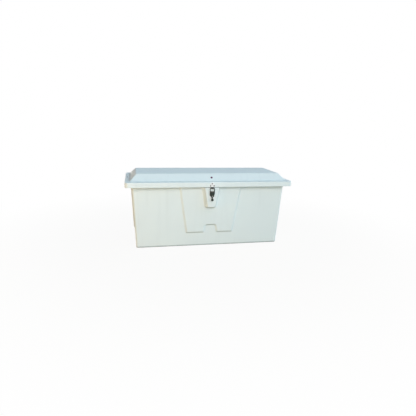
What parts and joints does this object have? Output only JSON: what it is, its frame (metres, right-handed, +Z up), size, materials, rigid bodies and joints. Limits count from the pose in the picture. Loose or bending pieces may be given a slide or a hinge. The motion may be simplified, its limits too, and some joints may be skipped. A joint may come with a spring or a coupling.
{
  "type": "dock box",
  "caption": "White fibreglass dock storage box: tapered tub with raised front panel, hinged hip-crowned lid on gas springs, and a draw latch at the front.",
  "frame": {"origin": "on the ground at the middle of the base", "axes": "+Z up, X along the length, the front with the latch towards -Y"},
  "size_m": [1.27, 0.5958, 0.568],
  "materials": {
    "gelcoat": "glossy white gelcoat",
    "stainless": "polished stainless",
    "latch_steel": "weathered stainless",
    "fastener_steel": "tarnished stainless",
    "seal_rubber": "matt black rubber",
    "backing_board": "resin-coated board",
    "black_paint": "satin black paint",
    "rod_chrome": "ground chrome",
    "bolt_cap": "dark cap",
    "plug_plastic": "plum plastic"
  },
  "bodies": {
    "tub": {"tub": "gelcoat", "left_hinge_tub_leaf": "stainless", "left_hinge_pin": "stainless", "right_hinge_tub_leaf": "stainless", "right_hinge_pin": "stainless", "hinge_tub_rivets": "fastener_steel", "latch_base": "stainless", "latch_base_rivets": "fastener_steel", "lever_pin": "latch_steel", "left_tub_block": "backing_board", "right_tub_block": "backing_board", "left_tub_bracket": "stainless", "right_tub_bracket": "stainless", "tub_bracket_screws": "fastener_steel"},
    "lid": {"lid": "gelcoat", "lid_seal": "seal_rubber", "left_hinge_lid_leaf": "stainless", "right_hinge_lid_leaf": "stainless", "hinge_lid_rivets": "fastener_steel", "latch_keeper": "stainless", "keeper_rivets": "fastener_steel", "left_lid_block": "backing_board", "right_lid_block": "backing_board", "left_lid_bracket": "stainless", "right_lid_bracket": "stainless", "lid_bracket_screws": "fastener_steel", "left_end_bolt": "bolt_cap", "right_end_bolt": "bolt_cap", "left_lid_bumper": "seal_rubber", "right_lid_bumper": "seal_rubber", "slope_plug": "plug_plastic"},
    "lever": {"latch_lever": "latch_steel"},
    "bail": {"latch_bail": "latch_steel"},
    "left_cylinder": {"left_spring_cylinder": "black_paint", "left_cylinder_eye": "black_paint"},
    "left_rod": {"left_spring_rod": "rod_chrome", "left_rod_eye": "black_paint"},
    "right_cylinder": {"right_spring_cylinder": "black_paint", "right_cylinder_eye": "black_paint"},
    "right_rod": {"right_spring_rod": "rod_chrome", "right_rod_eye": "black_paint"}
  },
  "joints": [
    {"name": "lid_hinge", "type": "hinge", "parent": "tub", "child": "lid", "pos_m": [0, 0.2853, 0.476], "axis": [-1, 0, 0], "range_deg": [0, 70]},
    {"name": "latch_lever_swing", "type": "hinge", "parent": "tub", "child": "lever", "pos_m": [0, -0.288, 0.436], "axis": [-1, 0, 0], "range_deg": [0, 90]},
    {"name": "bail_swing", "type": "hinge", "parent": "lever", "child": "bail", "pos_m": [0, -0.28687, 0.42305], "axis": [-1, 0, 0], "range_deg": [-72, 0]},
    {"name": "left_cylinder_swing", "type": "hinge", "parent": "tub", "child": "left_cylinder", "pos_m": [-0.519, 0.14191, 0.27121], "axis": [-1, 0, 0], "range_deg": [0, 35]},
    {"name": "left_rod_swing", "type": "hinge", "parent": "lid", "child": "left_rod", "pos_m": [-0.519, 0.04236, 0.535], "axis": [-1, 0, 0], "range_deg": [-35, 0]},
    {"name": "right_cylinder_swing", "type": "hinge", "parent": "tub", "child": "right_cylinder", "pos_m": [0.519, 0.14191, 0.27121], "axis": [-1, 0, 0], "range_deg": [0, 35]},
    {"name": "right_rod_swing", "type": "hinge", "parent": "lid", "child": "right_rod", "pos_m": [0.519, 0.04236, 0.535], "axis": [-1, 0, 0], "range_deg": [-35, 0]}
  ],
  "couplings": [
    {"joint": "bail_swing", "follows": "latch_lever_swing", "ratio": -0.8},
    {"joint": "left_cylinder_swing", "follows": "lid_hinge", "ratio": 0.5},
    {"joint": "left_rod_swing", "follows": "lid_hinge", "ratio": -0.5},
    {"joint": "right_cylinder_swing", "follows": "lid_hinge", "ratio": 0.5},
    {"joint": "right_rod_swing", "follows": "lid_hinge", "ratio": -0.5}
  ]
}
